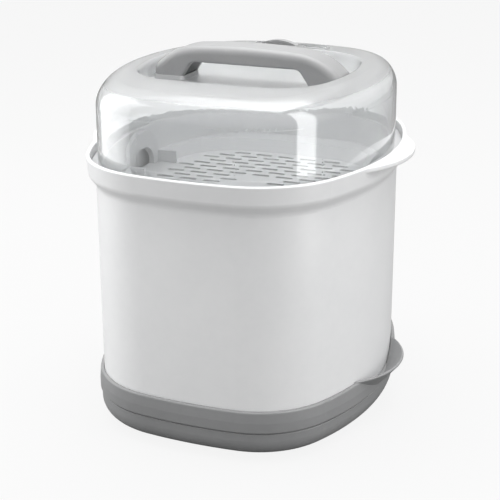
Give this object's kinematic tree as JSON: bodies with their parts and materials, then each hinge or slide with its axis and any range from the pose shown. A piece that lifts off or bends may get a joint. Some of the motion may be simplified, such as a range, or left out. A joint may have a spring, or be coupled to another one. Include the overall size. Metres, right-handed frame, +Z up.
{
  "type": "bottle sterilizer",
  "caption": "Bottle sterilizer: rounded square case on a tabbed water tray, drain rack, slotted upper tray, clear domed lid with carrying handle and sliding vent.",
  "frame": {"origin": "middle of the footprint, on the surface the feet stand on", "axes": "+Z up, X along the handle with a lift tab at each end, front towards -Y"},
  "size_m": [0.2344, 0.2422, 0.2594],
  "materials": {
    "white_plastic": "satin moulded polypropylene",
    "grey_plastic": "fine satin moulded polypropylene",
    "dark_grey_plastic": "satin moulded polypropylene",
    "clear_plastic": "polished clear copolyester",
    "clear_silicone": "soft clear silicone",
    "soft_rubber": "matt rubber",
    "steel": "stainless steel"
  },
  "bodies": {
    "base": {"base_tray": "grey_plastic", "foot_front_left": "soft_rubber", "foot_front_right": "soft_rubber", "foot_rear_left": "soft_rubber", "foot_rear_right": "soft_rubber"},
    "case": {"case_shell": "white_plastic"},
    "rack": {"drain_plate": "white_plastic", "post_front_left": "white_plastic", "post_front_right": "white_plastic", "post_middle_left": "white_plastic", "post_middle_right": "white_plastic", "post_rear_left": "white_plastic", "post_rear_right": "white_plastic"},
    "tray": {"upper_tray": "white_plastic"},
    "lid": {"lid_dome": "clear_plastic", "handle_shell": "grey_plastic", "handle_liner": "dark_grey_plastic", "handle_pad_left": "clear_silicone", "handle_pad_right": "clear_silicone", "handle_screws": "steel"},
    "vent": {"vent_shutter": "clear_plastic", "vent_tab": "grey_plastic", "vent_retainer": "white_plastic", "vent_screw": "steel"}
  },
  "joints": [
    {"name": "case_lift", "type": "slide", "parent": "base", "child": "case", "axis": [0, 0, 1], "range_m": [0, 0.06]},
    {"name": "rack_lift", "type": "slide", "parent": "case", "child": "rack", "axis": [0, 0, 1], "range_m": [0, 0.21]},
    {"name": "tray_lift", "type": "slide", "parent": "rack", "child": "tray", "axis": [0, 0, 1], "range_m": [0, 0.08]},
    {"name": "lid_lift", "type": "slide", "parent": "tray", "child": "lid", "axis": [0, 0, 1], "range_m": [0, 0.1]},
    {"name": "vent_slide", "type": "slide", "parent": "lid", "child": "vent", "axis": [1, 0, 0], "range_m": [0, 0.016]}
  ]
}
